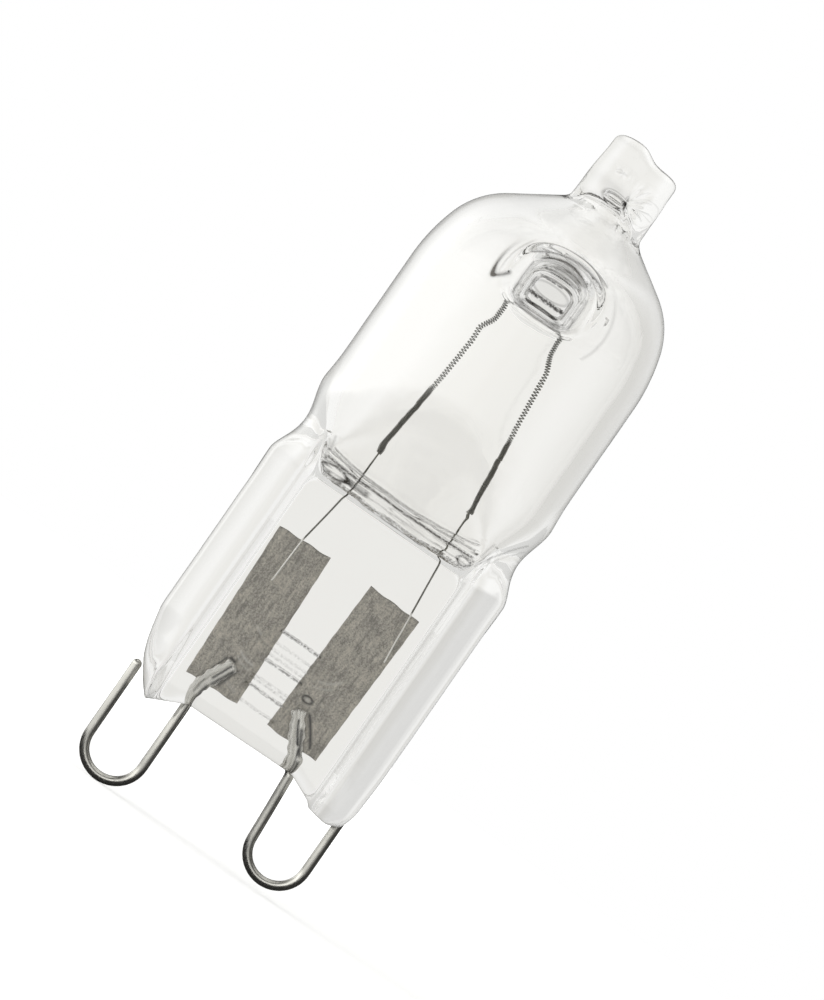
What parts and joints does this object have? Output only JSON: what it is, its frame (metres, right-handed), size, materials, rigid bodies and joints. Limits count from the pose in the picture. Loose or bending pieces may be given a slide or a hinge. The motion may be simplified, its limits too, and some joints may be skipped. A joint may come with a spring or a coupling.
{
  "type": "halogen capsule bulb",
  "caption": "Clear quartz halogen capsule with a flat pressed pinch, looped wire pins, sealed foils and a coiled filament hung over a glass post.",
  "frame": {"origin": "on the lamp's axis, level with the feet of the pinch rails, where the lamp seats on its holder", "axes": "+Z along the lamp's axis towards the sealed tip, +X across the width of the pinch, +Y through its thickness"},
  "size_m": [0.0132, 0.0126, 0.0389],
  "materials": {
    "quartz_glass": "clear, fire polished",
    "tungsten_coil": "dull drawn wire",
    "lead_wire": "drawn wire",
    "molybdenum_foil": "crumpled satin foil",
    "pin_wire": "bright drawn wire"
  },
  "bodies": {
    "root": {"glass_envelope": "quartz_glass", "filament": "tungsten_coil", "lead_left": "lead_wire", "lead_right": "lead_wire", "foil_left": "molybdenum_foil", "foil_right": "molybdenum_foil", "pin_left": "pin_wire", "pin_right": "pin_wire"}
  },
  "joints": []
}
